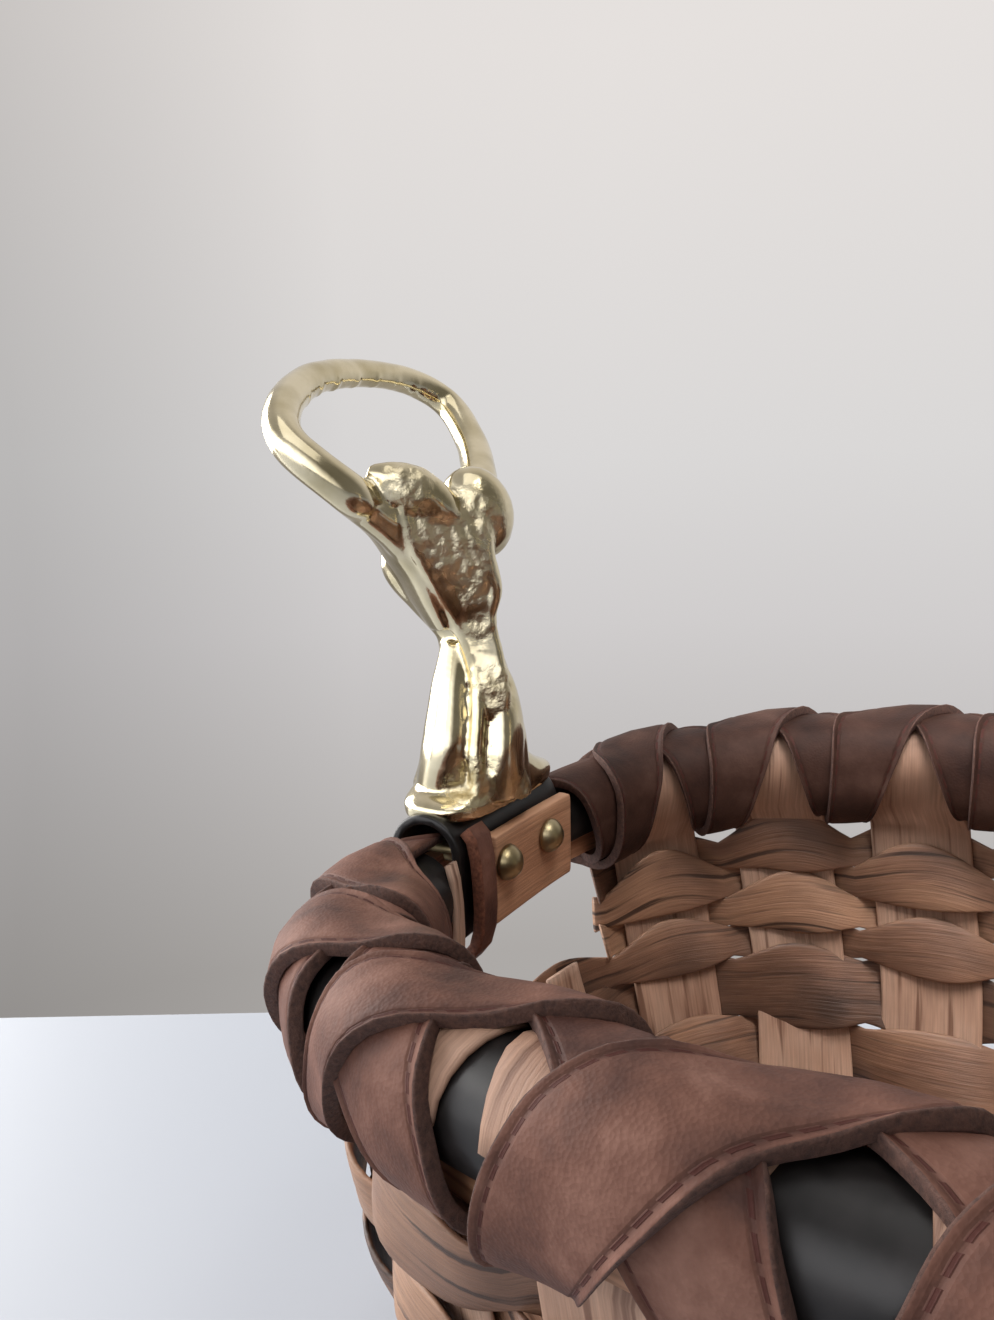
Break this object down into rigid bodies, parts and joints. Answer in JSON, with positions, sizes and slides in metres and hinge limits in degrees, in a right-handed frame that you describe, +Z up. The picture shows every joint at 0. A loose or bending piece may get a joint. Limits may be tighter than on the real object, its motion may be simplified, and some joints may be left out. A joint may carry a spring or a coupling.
{
  "type": "splint basket",
  "caption": "Oval splint-woven basket with a rim laced in stitched leather straps and a cast brass figure handle with a finger loop at each end.",
  "frame": {"origin": "middle of the underside of the base, at the height of the surface it stands on", "axes": "+X along the basket's length towards the handle that the picture doesn't show, +Z up, +Y towards the long side that is far from the camera in the picture"},
  "size_m": [0.4192, 0.2478, 0.265],
  "materials": {
    "splint_wood": "dry light splint with grain",
    "weaver_wood": "browned splint, colour varies by strip",
    "rim_wood": "orange tan wood",
    "black_cover": "smooth black with a soft sheen",
    "laced_leather": "reddish brown stitched strap leather",
    "brass": "polished casting with rough areas"
  },
  "bodies": {
    "root": {"cleat_left": "rim_wood", "cleat_right": "rim_wood", "handle_left": "brass", "handle_right": "brass", "hoop_inner": "rim_wood", "hoop_outer": "rim_wood", "lace_over_far": "laced_leather", "lace_over_near": "laced_leather", "lace_under_far": "laced_leather", "lace_under_near": "laced_leather", "rivet_left_1": "brass", "rivet_left_2": "brass", "rivet_right_1": "brass", "rivet_right_2": "brass", "saddle_left": "black_cover", "saddle_right": "black_cover", "sheath_far": "black_cover", "sheath_near": "black_cover", "splint_crosswise_1": "splint_wood", "splint_crosswise_2": "splint_wood", "splint_crosswise_3": "splint_wood", "splint_crosswise_4": "splint_wood", "splint_crosswise_5": "splint_wood", "splint_crosswise_6": "splint_wood", "splint_crosswise_7": "splint_wood", "splint_lengthwise_1": "splint_wood", "splint_lengthwise_2": "splint_wood", "splint_lengthwise_3": "splint_wood", "splint_lengthwise_4": "splint_wood", "weaver_1_far": "weaver_wood", "weaver_1_near": "weaver_wood", "weaver_2_far": "weaver_wood", "weaver_2_near": "weaver_wood", "weaver_3_far": "weaver_wood", "weaver_3_near": "weaver_wood", "weaver_4": "weaver_wood", "weaver_5": "weaver_wood", "weaver_6": "weaver_wood", "weaver_7": "weaver_wood", "weaver_8": "weaver_wood"}
  },
  "joints": []
}
